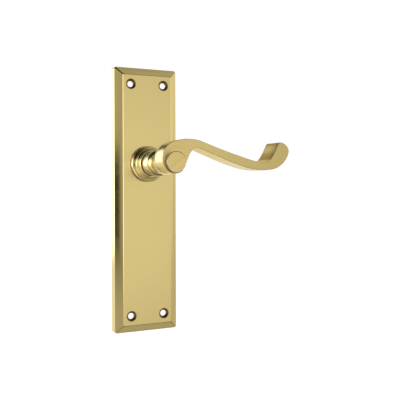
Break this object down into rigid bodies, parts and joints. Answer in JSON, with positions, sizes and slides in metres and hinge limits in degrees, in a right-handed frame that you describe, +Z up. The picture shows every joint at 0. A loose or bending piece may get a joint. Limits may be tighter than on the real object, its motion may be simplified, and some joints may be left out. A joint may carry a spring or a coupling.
{
  "type": "lever door handle",
  "caption": "Sprung scroll lever on a plain long backplate, with a turned collar and neck, a square spindle and a return spring behind the plate.",
  "frame": {"origin": "on the spindle's axis, at the plane of the door's face that the plate lies on", "axes": "+Z up the door, -Y out of the door towards the user, +X towards the lever's tip"},
  "size_m": [0.1168, 0.1058, 0.2],
  "materials": {
    "polished_brass": "polished and lacquered",
    "brushed_brass": "fine brushed, lacquered",
    "plated_steel": "zinc plated",
    "spring_steel": "bright oiled spring steel",
    "blackened_steel": "black oxide",
    "nylon": "natural nylon"
  },
  "bodies": {
    "plate": {"backplate": "polished_brass", "rose_collar": "polished_brass", "bearing_bush": "nylon", "wave_washer": "spring_steel", "spring_tray": "plated_steel", "torsion_spring": "spring_steel", "anchor_pin": "plated_steel", "mechanism_cover": "plated_steel", "stop_pin_rest": "plated_steel", "stop_pin_full": "plated_steel", "cover_screw_1": "plated_steel", "cover_screw_2": "plated_steel", "cover_screw_3": "plated_steel", "cover_screw_4": "plated_steel"},
    "lever": {"neck": "polished_brass", "lever_arm": "brushed_brass", "spindle": "plated_steel", "grub_screw": "blackened_steel", "drive_plate": "plated_steel", "drive_peg": "plated_steel", "thrust_washer": "nylon", "circlip": "spring_steel"}
  },
  "joints": [
    {"name": "lever_turn", "type": "hinge", "parent": "plate", "child": "lever", "pos_m": [0, 0, 0], "axis": [0, 1, 0], "range_deg": [0, 45], "stiffness_Nm_per_rad": 0.32, "springref_deg": -45.84, "deforming": ["torsion_spring"]}
  ]
}
